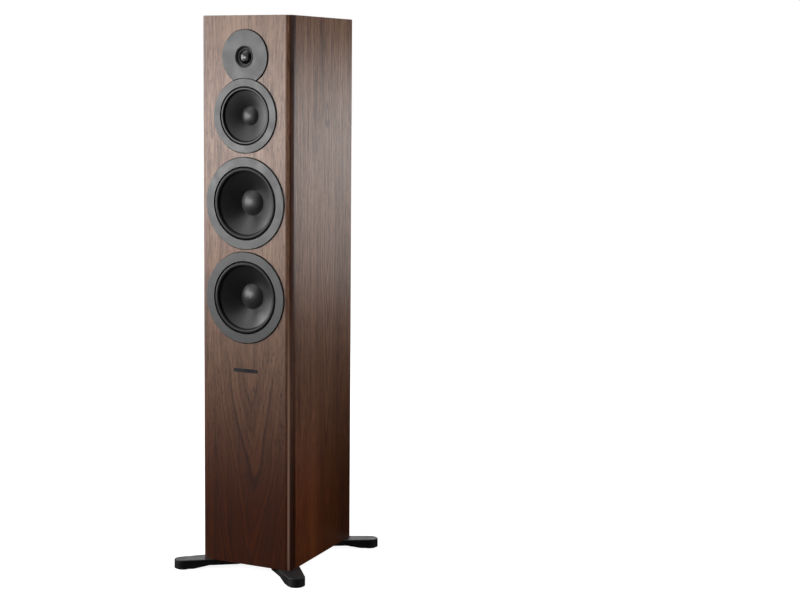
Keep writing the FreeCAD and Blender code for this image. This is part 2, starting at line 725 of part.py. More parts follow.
# ---- Screws ----
def screw(x, z, head_front, direction=1):
    """Pan-head screw along the depth; direction is 1 with its point backwards, -1 forwards."""
    axis = BACKWARDS * direction
    head = Part.makeCylinder(SCREW_HEAD_R, SCREW_HEAD_HEIGHT, at(x, head_front, z), axis)
    neck = head_front + direction * SCREW_HEAD_HEIGHT
    shank = Part.makeCylinder(SCREW_R, SCREW_LENGTH, at(x, neck, z), axis)
    return head.fuse(shank).removeSplitter()


def driver_screws():
    for _, d, z in drivers():
        for x, zs in screw_places(d, z):
            yield screw(x, zs, screw_front())
    for x, zs in tweeter_screw_places():
        yield tweeter_screw(x, zs)
    for x, z in terminal_screw_places():
        head_front = CABINET_DEPTH + TERMINAL_THICKNESS + SCREW_HEAD_HEIGHT
        yield screw(x, z, head_front, -1)


def tweeter_screw(x, z):
    """Screw from inside the cabinet, through the baffle into the back of the face plate."""
    head = disc(SCREW_HEAD_R, BAFFLE_THICKNESS, BAFFLE_THICKNESS + SCREW_HEAD_HEIGHT, z, x)
    shank = disc(SCREW_R, TRIM_BACK, BAFFLE_THICKNESS, z, x)
    return head.fuse(shank).removeSplitter()


# ---- Binding posts ----
def terminal_screw_places():
    wide = (TERMINAL_WIDTH - TERMINAL_MARGIN) / 2
    tall = (TERMINAL_SPAN - TERMINAL_MARGIN) / 2
    for x in (-wide, wide):
        for z in (TERMINAL_Z - tall, TERMINAL_Z + tall):
            yield x, z


def terminal_plate():
    wide = TERMINAL_WIDTH / 2
    tall = TERMINAL_SPAN / 2
    back = CABINET_DEPTH + TERMINAL_THICKNESS
    plate = block(-wide, wide, CABINET_DEPTH, back, TERMINAL_Z - tall, TERMINAL_Z + tall)
    corners = [e for e in plate.Edges if e.Length < TERMINAL_CORNER_R]
    plate = plate.makeFillet(TERMINAL_CORNER_R, corners)
    holes = [disc(SCREW_R, CABINET_DEPTH - CUT, back + CUT, z, x) for x, z in terminal_screw_places()]
    posts = [disc(POST_R, CABINET_DEPTH - CUT, back + CUT, TERMINAL_Z, x) for x in post_places()]
    return plate.cut(holes + posts)


def post_places():
    return -POST_SPREAD / 2, POST_SPREAD / 2


def post_base():
    """Depth of the insulators' outer faces, where the collars rest."""
    return CABINET_DEPTH + TERMINAL_THICKNESS + INSULATOR_THICKNESS


def binding_post_cores():
    """For each post: the metal core with its plug bore, the insulator and the inner nut."""
    back = CABINET_DEPTH + POST_REACH
    for x in post_places():
        core = disc(POST_R, CABINET_DEPTH - POST_TAIL, back, TERMINAL_Z, x)
        yield core.cut(disc(PLUG_BORE_R, back - PLUG_BORE_DEPTH, back + CUT, TERMINAL_Z, x))
        yield ring(POST_R, INSULATOR_R, CABINET_DEPTH + TERMINAL_THICKNESS, post_base(),
                   TERMINAL_Z, x)
        yield ring(POST_R, POST_NUT_R, CABINET_DEPTH - POST_NUT_THICKNESS, CABINET_DEPTH,
                   TERMINAL_Z, x)


def post_collar(x):
    """Metal collar that the knob clamps a wire with."""
    front = post_base()
    return ring(POST_R + THREAD_GAP, COLLAR_R, front, front + COLLAR_THICKNESS, TERMINAL_Z, x)


def post_knob(x):
    """Fluted cap nut on the post, open at its end for a plug."""
    front = post_base() + COLLAR_THICKNESS
    back = front + KNOB_LENGTH
    z = TERMINAL_Z
    bore = POST_R + THREAD_GAP
    knob = turned(z, [
        (bore, front), (KNOB_R - FLUTE_R, front), (KNOB_R, front + FLUTE_R),
        (KNOB_R, back - FLUTE_R), (KNOB_R - FLUTE_R, back), (bore, back)], x)
    r = KNOB_R + FLUTE_R / 2
    flutes = [disc(FLUTE_R, front + 2 * FLUTE_R, back + CUT, z + r * up, x + r * across)
              for across, up in round_the_axis(KNOB_FLUTES)]
    return knob.cut(flutes)


# ---- Crossover ----
def board_corners():
    wide = BOARD_WIDTH / 2 - STANDOFF_INSET
    for x in (-wide, wide):
        for depth in (BOARD_REAR - BOARD_LENGTH + STANDOFF_INSET, BOARD_REAR - STANDOFF_INSET):
            yield x, at(0, depth, 0).y


def crossover_board():
    """Circuit board on four stand-offs on the bottom panel."""
    half = BOARD_WIDTH / 2
    low = BOARD_TOP - BOARD_THICKNESS
    front = BOARD_REAR - BOARD_LENGTH
    yield block(-half, half, front, BOARD_REAR, low, BOARD_TOP)
    for x, y in board_corners():
        yield post(STANDOFF_R, BASE_Z + WALL, low, x, y)


def inductor(r, height, place):
    """Upright air-cored winding on the board."""
    y = at(0, BOARD_REAR - BOARD_LENGTH + place, 0).y
    winding = post(r, BOARD_TOP, BOARD_TOP + height, 0, y)
    return winding.cut(post(r / 2, BOARD_TOP - CUT, BOARD_TOP + height + CUT, 0, y))


def lying_part(r, length, place):
    """Capacitor or resistor lying across the board."""
    start = at(-length / 2, BOARD_REAR - BOARD_LENGTH + place, BOARD_TOP + r)
    return Part.makeCylinder(r, length, start, V(1, 0, 0))


def crossover_components():
    for sizes in INDUCTORS:
        yield inductor(*sizes)
    for sizes in CAPACITORS + RESISTORS:
        yield lying_part(*sizes)


# ---- Internal cables ----
def risers():
    """Each driver's name with the place of its cable's riser, beside the brace windows."""
    yield "woofer_lower", -RISER_X, motor_back(WOOFER) + RISER_RUN
    yield "woofer_upper", RISER_X, motor_back(WOOFER) + RISER_RUN
    yield "midrange", -RISER_X, motor_back(WOOFER) + RISER_RUN + RISER_STEP
    x = min(RISER_X, tweeter_chamber_r() - CABLE_R / 2)
    yield "tweeter", x, motor_back(WOOFER) + RISER_RUN + RISER_STEP


def bent_cable(start, corner, end):
    """Round cable along two straight runs at right angles, joined by a tangent arc."""
    first = start - corner
    second = end - corner
    radius = ARC_SHARE * min(first.Length, second.Length)
    first.normalize()
    second.normalize()
    leave = corner + first * radius
    join = corner + second * radius
    centre = leave + second * radius
    middle = centre - (first + second) * (radius * HALF)
    path = Part.Wire([
        Part.makeLine(start, leave), Part.Arc(leave, middle, join).toShape(),
        Part.makeLine(join, end)])
    section = Part.Wire([Part.makeCircle(CABLE_R, start, first)])
    print("cable arc radius %.1f mm, length %.0f mm" % (radius, path.Length))
    return path.makePipeShell([section], True, False)


def lead_depth():
    return CABINET_DEPTH - POST_TAIL - LEAD_RUN


def internal_wiring():
    """A cable from the crossover to the back of each driver, and a lead from each post."""
    ends = {name: (z, motor_back(d)) for name, d, z in drivers()}
    ends["tweeter"] = (driver_z(TWEETER_DROP), tweeter_motor_back() + REAR_CHAMBER_DEPTH)
    for name, x, depth in risers():
        z, back = ends[name]
        yield bent_cable(at(x, depth, BOARD_TOP), at(x, depth, z), at(x, back, z))
    for x in post_places():
        depth = lead_depth()
        tail = at(x, CABINET_DEPTH - POST_TAIL, TERMINAL_Z)
        yield bent_cable(at(x, depth, BOARD_TOP), at(x, depth, TERMINAL_Z), tail)


# ---- Feet ----
def foot_places():
    """Each foot's name, arm, tip's (x, y), and the direction from its tip to its root."""
    front_x = FRONT_WIDTH / 2 + FRONT_TIP_OUT
    rear_x = REAR_WIDTH / 2 + REAR_TIP_OUT
    front_y = at(0, -FRONT_TIP_AHEAD, 0).y
    rear_y = at(0, CABINET_DEPTH + REAR_TIP_BEHIND, 0).y
    yield "front_right", FRONT_ARM, front_x, front_y, 180 - FRONT_ARM.angle
    yield "front_left", FRONT_ARM, -front_x, front_y, FRONT_ARM.angle
    yield "rear_right", REAR_ARM, rear_x, rear_y, 180 + REAR_ARM.angle
    yield "rear_left", REAR_ARM, -rear_x, rear_y, -REAR_ARM.angle


def arm_bolts(arm, x, y, heading):
    """(x, y) of an arm's two bolts, along its centre line."""
    turn = math.radians(heading)
    for along in (arm.length - BOLT_SPREAD, arm.length + BOLT_SPREAD):
        yield x + along * math.cos(turn), y + along * math.sin(turn)


def foot_bolt_places():
    return [place for _, arm, x, y, heading in foot_places()
            for place in arm_bolts(arm, x, y, heading)]


def arm_plan(arm):
    """The arm seen from above, tip at the origin: two circles joined by their tangents."""
    tilt = (arm.root_r - TIP_R) / arm.length
    level = math.sqrt(1 - tilt ** 2)
    tip = (-tilt * TIP_R, level * TIP_R)
    root = (arm.length - tilt * arm.root_r, level * arm.root_r)
    return outline(lambda s, w: V(s, w, TIP_UNDERSIDE), [
        tip, root, ((arm.length + arm.root_r, 0), (root[0], -root[1])), (tip[0], -tip[1]),
        ((-TIP_R, 0), tip)])


def arm_reach(arm):
    """Past the far end of an arm's root."""
    return arm.length + arm.root_r + CUT


def arm_side(arm):
    """The arm seen from its side: level on top, rising below from the deep tip."""
    reach = arm_reach(arm)
    return outline(lambda s, z: V(s, -reach, z), [
        (-TIP_R - CUT, TIP_UNDERSIDE), (TIP_FLAT, TIP_UNDERSIDE),
        (TIP_FLAT + ARM_SLOPE, ARM_UNDERSIDE), (reach, ARM_UNDERSIDE), (reach, BASE_Z),
        (-TIP_R - CUT, BASE_Z)])


def foot_arm(arm, x, y, heading):
    plan = arm_plan(arm).extrude(UPWARDS * (BASE_Z - TIP_UNDERSIDE))
    casting = plan.common(arm_side(arm).extrude(V(0, 2 * arm_reach(arm), 0)))
    rim = edges_where(casting, lambda p: p.z > BASE_Z - TOP_EDGE_R / 2)
    casting = casting.makeFillet(ARM_EDGE_R, rim)
    casting.rotate(V(0, 0, 0), UPWARDS, heading)
    casting.translate(V(x, y, 0))
    wheel_top = PAD_THICKNESS + WHEEL_GAP + WHEEL_THICKNESS + WHEEL_GAP
    cuts = [post(PAD_R + PAD_GAP, TIP_UNDERSIDE - CUT, wheel_top, x, y),
            post(STUD_R + THREAD_GAP, TIP_UNDERSIDE, STUD_HOLE_TOP, x, y)]
    head_top = ARM_UNDERSIDE + BOLT_HEAD_HEIGHT
    for bolt_x, bolt_y in arm_bolts(arm, x, y, heading):
        cuts.append(post(BOLT_HEAD_R + HEAD_CLEARANCE, 0, head_top, bolt_x, bolt_y))
        cuts.append(post(BOLT_R, 0, BASE_Z + CUT, bolt_x, bolt_y))
    return casting.cut(cuts)


def foot_bolts():
    for x, y in foot_bolt_places():
        neck = ARM_UNDERSIDE + BOLT_HEAD_HEIGHT
        head = post(BOLT_HEAD_R, ARM_UNDERSIDE, neck, x, y)
        yield head.fuse(post(BOLT_R, neck, BASE_Z + BOLT_REACH, x, y)).removeSplitter()


def foot_stud(x, y):
    """Threaded stud with its fluted thumb wheel, and the pin that turns in the pad."""
    wheel_low = PAD_THICKNESS + WHEEL_GAP
    wheel_high = wheel_low + WHEEL_THICKNESS
    wheel = post(WHEEL_R, wheel_low, wheel_high, x, y)
    notches = []
    for i in range(WHEEL_FLUTES):
        turn = 2 * math.pi * i / WHEEL_FLUTES
        notch_x = x + WHEEL_R * math.cos(turn)
        notch_y = y + WHEEL_R * math.sin(turn)
        notches.append(post(FLUTE_R, wheel_low - CUT, wheel_high + CUT, notch_x, notch_y))
    pin = post(STUD_PIN_R, PAD_THICKNESS - STUD_PIN_DEPTH, wheel_low, x, y)
    stud = post(STUD_R, wheel_high, STUD_TOP, x, y)
    return wheel.cut(notches).fuse([pin, stud]).removeSplitter()


def foot_pad(x, y):
    """Rubber puck that the stud's pin turns in."""
    pad = post(PAD_R, 0, PAD_THICKNESS, x, y)
    bore_low = PAD_THICKNESS - STUD_PIN_DEPTH - THREAD_GAP
    return pad.cut(post(STUD_PIN_R + THREAD_GAP, bore_low, PAD_THICKNESS + CUT, x, y))


# ---- The whole loudspeaker ----
def save_cabinet():
    form = cabinet_block()
    left, right = side_panels(form)
    save("front_baffle", front_baffle(form))
    save("left_side_panel", left)
    save("right_side_panel", right)
    save("rear_panel", rear_panel(form))
    save("top_panel", inner_prism(BAFFLE_THICKNESS, REAR_INNER, TOP_Z - WALL, TOP_Z))
    save("bottom_panel", bottom_panel())
    save("window_braces", *window_braces())
    save("midrange_chamber", midrange_chamber())
    save("upper_port_tube", port_tube(PORT_DROPS[0]))
    save("lower_port_tube", port_tube(PORT_DROPS[1]))
    save("badge_plate", badge_plate())


def save_drivers():
    for name, d, z in drivers():
        save(name + "_trim_ring", trim_ring(d, z))
        save(name + "_basket", basket(d, z))
        save(name + "_motor", *motor(d, z))
        save(name + "_surround", surround(d, z))
        save(name + "_spider", spider(d, z))
        save(name + "_cone", *cone(d, z))
        save(name + "_voice_coil", *voice_coil(d, z))
    save("tweeter_faceplate", *tweeter_faceplate())
    save("tweeter_dome", *tweeter_dome())
    save("tweeter_surround", tweeter_surround())
    save("tweeter_motor", *tweeter_motor())
    save("tweeter_rear_chamber", tweeter_rear_chamber())
    save("fixing_screws", *driver_screws())


def save_electrics():
    save("terminal_plate", terminal_plate())
    save("binding_post_cores", *binding_post_cores())
    for name, x in zip(("negative", "positive"), post_places()):
        save(name + "_collar", post_collar(x))
        save(name + "_knob", post_knob(x))
    save("crossover_board", *crossover_board())
    save("crossover_components", *crossover_components())
    save("internal_wiring", *internal_wiring())


def save_feet():
    for name, arm, x, y, heading in foot_places():
        save(name + "_foot_arm", foot_arm(arm, x, y, heading))
        save(name + "_foot_stud", foot_stud(x, y))
        save(name + "_foot_pad", foot_pad(x, y))
    save("foot_bolts", *foot_bolts())


os.makedirs("parts", exist_ok=True)
save_cabinet()
save_drivers()
save_electrics()
save_feet()
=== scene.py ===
"""Looks of the floorstanding speaker: materials, fine surrounds, stage, lights and camera."""
import math

import bmesh
import bpy
import numpy as np
from mathutils import Matrix, Vector


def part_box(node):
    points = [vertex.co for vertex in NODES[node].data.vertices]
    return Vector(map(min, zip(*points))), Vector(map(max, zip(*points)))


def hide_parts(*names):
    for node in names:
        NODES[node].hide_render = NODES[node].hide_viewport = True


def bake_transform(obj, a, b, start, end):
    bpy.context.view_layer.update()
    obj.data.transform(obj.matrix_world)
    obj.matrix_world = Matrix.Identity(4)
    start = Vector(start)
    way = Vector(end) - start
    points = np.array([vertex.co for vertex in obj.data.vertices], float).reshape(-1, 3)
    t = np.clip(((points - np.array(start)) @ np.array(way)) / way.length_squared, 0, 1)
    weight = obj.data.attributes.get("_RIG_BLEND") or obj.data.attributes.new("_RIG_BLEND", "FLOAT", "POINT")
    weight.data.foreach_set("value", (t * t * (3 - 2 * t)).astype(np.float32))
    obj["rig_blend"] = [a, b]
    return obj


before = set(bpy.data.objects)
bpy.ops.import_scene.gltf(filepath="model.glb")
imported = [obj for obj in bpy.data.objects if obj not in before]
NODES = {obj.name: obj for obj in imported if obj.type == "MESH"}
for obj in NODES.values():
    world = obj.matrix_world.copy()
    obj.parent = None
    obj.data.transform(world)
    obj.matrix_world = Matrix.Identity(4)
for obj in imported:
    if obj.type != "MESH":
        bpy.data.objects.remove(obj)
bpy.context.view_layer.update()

# ------------------------------------------------------------------ places, from the frame (metres)


def centre(node):
    """The middle of a CAD node's box."""
    low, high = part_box(node)
    return (Vector(low) + Vector(high)) / 2


def half_width(node):
    """Half of a CAD node's size along X."""
    low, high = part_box(node)
    return (high[0] - low[0]) / 2


# ------------------------------------------------------------------ node material helper


class Mat:
    """A node material with one Principled shader and short calls for the nodes used here."""

    def __init__(self, name):
        self.material = bpy.data.materials.new(name)
        self.material.use_nodes = True
        self.tree = self.material.node_tree
        self.shader = self.tree.nodes["Principled BSDF"]

    def node(self, kind, inputs=None, **settings):
        """A node with its settings made and its inputs given as values or as sockets."""
        made = self.tree.nodes.new(kind)
        for key, value in settings.items():
            setattr(made, key, value)
        for key, value in (inputs or {}).items():
            if isinstance(value, bpy.types.NodeSocket):
                self.tree.links.new(value, made.inputs[key])
            else:
                made.inputs[key].default_value = value
        return made

    def place(self, scale=(1, 1, 1), offset=(0, 0, 0)):
        """The point on the object at rest, in metres, scaled and moved."""
        coords = self.node("ShaderNodeTexCoord").outputs["Object"]
        return self.node("ShaderNodeMapping", {"Vector": coords, "Scale": scale,
                                               "Location": offset}).outputs[0]

    def split(self):
        """The point's x, y and z."""
        return self.node("ShaderNodeSeparateXYZ", {0: self.place()}).outputs

    def noise(self, scale, size=1.0, detail=4.0, rough=0.55, offset=(0, 0, 0), distort=0.0):
        """Noise from 0 to 1 whose lumps are 1/scale metres along each axis."""
        return self.node("ShaderNodeTexNoise", {"Vector": self.place(scale, offset), "Scale": size,
                                                "Detail": detail, "Roughness": rough,
                                                "Distortion": distort}).outputs["Fac"]

    def math(self, operation, a, b=0.0, c=0.0, clamp=False):
        """One math node."""
        return self.node("ShaderNodeMath", {0: a, 1: b, 2: c}, operation=operation,
                         use_clamp=clamp).outputs[0]

    def span(self, value, low, high, out_low=0.0, out_high=1.0, smooth=True):
        """value taken from low..high to out_low..out_high, held at the ends."""
        kind = "SMOOTHSTEP" if smooth else "LINEAR"
        return self.node("ShaderNodeMapRange", {"Value": value, "From Min": low, "From Max": high,
                                                "To Min": out_low, "To Max": out_high},
                         interpolation_type=kind).outputs[0]

    def ramp(self, value, *stops):
        """A colour ramp through (place, colour) stops."""
        made = self.node("ShaderNodeValToRGB", {0: value})
        steps = made.color_ramp.elements
        while len(steps) < len(stops):
            steps.new(1.0)
        for step, (spot, colour) in zip(steps, stops):
            step.position = spot
            step.color = tuple(colour) + (1.0,)
        return made.outputs["Color"]

    def between(self, share, a, b):
        """Two values mixed by share."""
        return self.node("ShaderNodeMix", {0: share, 2: a, 3: b}, data_type="FLOAT").outputs[0]

    def mix(self, share, a, b, how="MIX"):
        """Two colours mixed by share."""
        made = self.node("ShaderNodeMix", data_type="RGBA", blend_type=how)
        for key, value in ((0, share), (6, a), (7, b)):
            if isinstance(value, bpy.types.NodeSocket):
                self.tree.links.new(value, made.inputs[key])
            else:
                made.inputs[key].default_value = value if key == 0 else tuple(value) + (1.0,)
        return made.outputs[2]

    def put(self, key, value):
        """A shader socket's link or value."""
        if isinstance(value, bpy.types.NodeSocket):
            self.tree.links.new(value, self.shader.inputs[key])
        elif key == "Base Color":
            self.shader.inputs[key].default_value = tuple(value) + (1.0,)
        else:
            self.shader.inputs[key].default_value = value

    def bump(self, height, strength, distance):
        """Fine relief on the surface."""
        self.put("Normal", self.node("ShaderNodeBump", {"Height": height, "Strength": strength,
                                                        "Distance": distance}).outputs[0])


def srgb(r, g, b):
    """A colour picked as 0-255 display values, as the linear values that Blender works in."""
    return tuple((v / 255 / 12.92) if v / 255 <= 0.04045 else ((v / 255 + 0.055) / 1.055) ** 2.4
                 for v in (r, g, b))


def wear(name, colour, spread, rough, grain=900.0, metallic=0.0, relief=0.00003, strength=0.25):
    """A moulded, cast or plated finish: mottled colour, uneven gloss and a fine relief."""
    m = Mat(name)
    patch = m.noise((40, 40, 40), detail=3.0)
    fine = m.noise((grain, grain, grain), detail=2.0)
    low = tuple(c * (1 - spread) for c in colour)
    high = tuple(min(1.0, c * (1 + spread)) for c in colour)
    m.put("Base Color", m.ramp(m.math("MULTIPLY_ADD", fine, 0.35, m.math("MULTIPLY", patch, 0.65)),
                               (0.3, low), (0.7, high)))
    m.put("Roughness", m.span(patch, 0.3, 0.7, rough - 0.06, rough + 0.06))
    m.put("Metallic", metallic)
    m.bump(fine, strength, relief)
    return m


# ------------------------------------------------------------------ walnut veneer

WOOD_PALE = (0.345, 0.198, 0.130)        # the palest wood, in linear colour
WOOD_MID = (0.218, 0.110, 0.064)
WOOD_DARK = (0.085, 0.036, 0.020)
WOOD_PORE = (0.020, 0.009, 0.005)
FOOT_SHADE_TINT = (0.20, 0.075, 0.02)          # painted shade: what the wood's colour is multiplied by at the foot
SIDE_FOOT_SHADE_TINT = (0.27, 0.125, 0.035)    # the same painted shade for the sides
SHADE_FADE_TOP, SHADE_FADE_FOOT = 0.80, 0.10         # heights between which painted shade darkens the wood
CORNER_R = 0.0125
FLAT_HALF = half_width("front_baffle") - CORNER_R    # the flat front ends here
CORNER_SHADE_TINT = (0.26, 0.12, 0.065)          # painted shade: what the corner's dark band multiplies the wood's colour by
CORNER_HIGHLIGHT = (0.36, 0.20, 0.145)          # the painted highlight line on the lower right corner
LINE_TINT = (0.42, 0.34, 0.30)           # what a dark growth line multiplies the wood's colour by
SIDE_LIGHT_TINT = (2.2, 2.3, 2.9)             # painted light: how much paler a side is at its foot toward the front
WOOD_SPECULAR = 0.40
FRONT_ARCH = (0.016, 0.205, 0.095)       # x of the heart, z of the lowest tip, reach across
FRONT_ARCH_TOP = (0.36, 0.50)            # heights between which the front's arches end
SIDE_ARCH_REACH, SIDE_ARCH_STEEP = 0.060, 34.0
SIDE_ARCH_TOP = (0.62, 0.80)
ARCH_BANDS = 24.0                        # lumps of the bands' noise in a metre of height
CORNER_SHADE_HEIGHTS = (0.25, 0.60)              # between these the corner's painted shade darkens upward
HIGHLIGHT_HEIGHTS = (0.36, 0.60)             # between these the corner's painted highlight ends
SIDE_LIGHT_HEIGHTS = (0.12, 0.48)             # between these a side's painted lighter front ends
KNOT = (0.030, 0.925, 0.0070, 0.019)     # a small knot: y, z, half width and half height


class Veneer(Mat):
    """Book-cut walnut: straight grain, with nested arches where the cut runs through the heart."""

    def __init__(self, name, across, seed):
        super().__init__(name)
        self.axes = self.split()
        self.across = self.axes[across]
        self.z = self.axes[2]
        self.seed = (seed, seed * 0.7, seed * 1.3)

    def arches(self, heart, tip_z, reach, steep=12.7):
        """Bands nested round a V with its tip at (heart, tip_z), and their share, 0 past reach."""
        away = self.math("SUBTRACT", self.across, heart)
        drift = self.noise((4, 4, 7), detail=2.0, offset=self.seed)
        away = self.math("ABSOLUTE", self.math("ADD", away, self.span(drift, 0.2, 0.8, -0.010, 0.010, False)))
        climb = self.math("MULTIPLY", self.math("POWER", away, 1.35), steep)
        wave = self.noise((70, 70, 12), detail=3.0, offset=self.seed)
        level = self.math("SUBTRACT", self.math("SUBTRACT", self.z, tip_z), climb)
        level = self.math("ADD", level, self.math("MULTIPLY", wave, 0.012))
        bands = self.node("ShaderNodeTexNoise", {"W": self.math("MULTIPLY", level, ARCH_BANDS), "Scale": 1.0,
                                                 "Detail": 1.6, "Roughness": 0.5},
                          noise_dimensions="1D").outputs["Fac"]
        return bands, self.span(away, reach * 0.55, reach, 1.0, 0.0)

    def grain(self):
        """Fine and broad straight streaks, as one value about 0.5."""
        fine = self.noise((430, 430, 26.0), detail=3.0, rough=0.65, offset=self.seed, distort=0.5)
        broad = self.noise((85, 85, 2.6), detail=4.0, rough=0.6, offset=self.seed, distort=0.7)
        wide = self.noise((15, 15, 1.3), detail=2.0, offset=self.seed, distort=0.6)
        both = self.math("MULTIPLY_ADD", broad, 0.32, self.math("MULTIPLY", fine, 0.46))
        return self.math("MULTIPLY_ADD", wide, 0.22, both)

    def finish(self, tone, lines, gloss=0.36, foot_shade_tint=FOOT_SHADE_TINT):
        """Colour, painted shade darkening to the foot, pores and relief from the tone and the dark growth
        lines.
        """
        colour = self.ramp(tone, (0.37, WOOD_DARK), (0.47, WOOD_MID), (0.58, WOOD_PALE))
        # painted shade: the wood's colour is darkened toward the foot
        foot_shade_share = self.span(self.z, SHADE_FADE_FOOT, SHADE_FADE_TOP, 1.0, 0.0)
        colour = self.mix(foot_shade_share, colour, self.mix(1.0, colour, foot_shade_tint, "MULTIPLY"))
        pores = self.noise((520, 520, 62), detail=2.0, offset=self.seed)
        pore = self.span(pores, 0.57, 0.70)
        speck = self.math("MULTIPLY", pore, self.noise((60, 60, 14), detail=1.0, offset=self.seed))
        speck = self.math("MULTIPLY", speck, 1.3, clamp=True)
        colour = self.mix(self.math("MULTIPLY", lines, 0.34), colour,
                          self.mix(1.0, colour, LINE_TINT, "MULTIPLY"))
        colour = self.mix(speck, colour, WOOD_PORE)
        self.put("Roughness", self.span(tone, 0.35, 0.62, gloss + 0.06, gloss))
        self.put("Specular IOR Level", WOOD_SPECULAR)
        self.bump(self.math("MULTIPLY_ADD", pore, -0.7, tone), 0.10, 0.0003)
        return colour


def thin_lines(m, across_scale, length_scale, low=0.63, high=0.70, seed=0.0):
    """Long thin dark growth lines, few and far apart."""
    lines = m.noise((across_scale, across_scale, length_scale), detail=1.0, offset=(seed, seed, seed),
                    distort=0.8)
    return m.span(lines, low, high)


def front_veneer():
    """The front: straight grain above, arches under the badge, a painted dark shade band round each side
    corner and a painted highlight low on the right one.
    """
    m = Veneer("walnut_front", 0, 2.4)
    bands, shows = m.arches(*FRONT_ARCH)
    shows = m.math("MULTIPLY", shows, m.span(m.z, *FRONT_ARCH_TOP, 1.0, 0.0))
    grain = m.grain()
    figured = m.math("MULTIPLY_ADD", bands, 0.50, m.math("MULTIPLY", grain, 0.50))
    tone = m.between(shows, grain, figured)
    colour = m.finish(tone, thin_lines(m, 210, 2.6, seed=4.2), gloss=0.32)
    turned = m.math("SUBTRACT", m.math("ABSOLUTE", m.axes[0]), FLAT_HALF)
    # painted shade: a dark band round each side corner, darker upward
    corner_shade_share = m.math("MULTIPLY", corner_shade(m, turned), m.span(m.z, *CORNER_SHADE_HEIGHTS, 0.35, 1.0))
    colour = m.mix(corner_shade_share, colour, m.mix(1.0, colour, CORNER_SHADE_TINT, "MULTIPLY"))
    # painted highlight: a pale line along the lower right corner's curve
    highlight_strip = m.math("MULTIPLY", m.span(turned, 0.0045, 0.0070), m.span(turned, 0.0080, 0.0105, 1.0, 0.0))
    corner_highlight_share = m.math("MULTIPLY", highlight_strip, m.span(m.z, *HIGHLIGHT_HEIGHTS, 0.85, 0.0))
    corner_highlight_share = m.math("MULTIPLY", corner_highlight_share, m.span(m.axes[0], 0.0, 0.01))
    m.put("Base Color", m.mix(corner_highlight_share, colour, CORNER_HIGHLIGHT))
    return m


def corner_shade(m, turned):
    """How much painted shade darkens the wood round a side corner: a faint strip, a paler one, then the dark
    one.
    """
    faint = m.math("MULTIPLY", m.span(turned, -0.0005, 0.0015), 0.45)
    pale = m.math("MULTIPLY", m.span(turned, 0.0040, 0.0060, 1.0, 0.25), faint)
    return m.math("MAXIMUM", pale, m.math("MULTIPLY", m.span(turned, 0.0072, 0.0092), 0.95))


def side_veneer(name, seed, heart, tip_z):
    """A side: streaked above, with one long narrow arch below."""
    m = Veneer(name, 1, seed)
    bands, shows = m.arches(heart, tip_z, SIDE_ARCH_REACH, SIDE_ARCH_STEEP)
    shows = m.math("MULTIPLY", shows, m.span(m.z, *SIDE_ARCH_TOP, 1.0, 0.0))
    grain = m.grain()
    figured = m.math("MULTIPLY_ADD", bands, 0.55, m.math("MULTIPLY", grain, 0.45))
    tone = m.between(shows, grain, figured)
    tone = m.math("SUBTRACT", tone, 0.030)
    colour = m.finish(tone, thin_lines(m, 130, 2.0, 0.60, 0.68, seed=seed), foot_shade_tint=SIDE_FOOT_SHADE_TINT)
    # painted light: a side's foot is paler toward the front
    side_light_share = m.math("MULTIPLY", m.span(m.across, -0.15, 0.15, 1.0, 0.0),
                   m.span(m.z, *SIDE_LIGHT_HEIGHTS, 1.0, 0.0))
    colour = m.mix(side_light_share, colour, m.mix(1.0, colour, SIDE_LIGHT_TINT, "MULTIPLY"))
    m.put("Base Color", m.mix(m.math("MULTIPLY", knot(m, *KNOT), 0.85), colour, WOOD_DARK))
    return m


def knot(m, y, z, half_y, half_z):
    """The dark rim of a small drop-shaped knot."""
    across = m.math("DIVIDE", m.math("SUBTRACT", m.across, y), half_y)
    along = m.math("DIVIDE", m.math("SUBTRACT", m.z, z), half_z)
    squeeze = m.math("ADD", 1.0, m.math("MULTIPLY", along, 0.45))
    r = m.math("SQRT", m.math("ADD", m.math("POWER", m.math("MULTIPLY", across, squeeze), 2.0),
                              m.math("POWER", along, 2.0)))
    off = m.math("ABSOLUTE", m.math("SUBTRACT", r, 1.0))
    return m.span(off, 0.12, 0.55, 1.0, 0.0)


def plain_veneer(name, seed):
    """The back and the top: straight grain."""
    m = Veneer(name, 0, seed)
    m.put("Base Color", m.finish(m.grain(), thin_lines(m, 150, 2.4, seed=seed)))
    return m


# ------------------------------------------------------------------ finishes

BLACK = (0.008, 0.008, 0.0085)
PAINT_EDGE = 0.0006                      # over which a ring's grey paint fades to black
CAP_COLOUR = (0.024, 0.024, 0.025)
CAP_ROUGHNESS = 0.36
CONE_RING_PITCH = 5200.0                 # radians per metre of the rings pressed in a cone
CLOTH_PITCH = 6000.0                     # radians per metre of warp and weft


def ringed(m, node):
    """Distance from a driver's axis, in metres."""
    mid = centre(node)
    return m.math("SQRT", m.math("ADD", m.math("POWER", m.math("SUBTRACT", m.axes[0], mid.x), 2.0),
                                 m.math("POWER", m.math("SUBTRACT", m.axes[2], mid.z), 2.0)))


def trim_paint(name, node, hole_r, grey):
    """Matte grey paint on a trim ring, black inside its opening."""
    m = wear(name, srgb(*grey), 0.06, 0.42, grain=2200.0, relief=0.00002)
    m.axes = m.split()
    r = ringed(m, node)
    paint = m.shader.inputs["Base Color"].links[0].from_socket
    m.put("Base Color", m.mix(m.span(r, hole_r, hole_r + PAINT_EDGE), BLACK, paint))
    return m


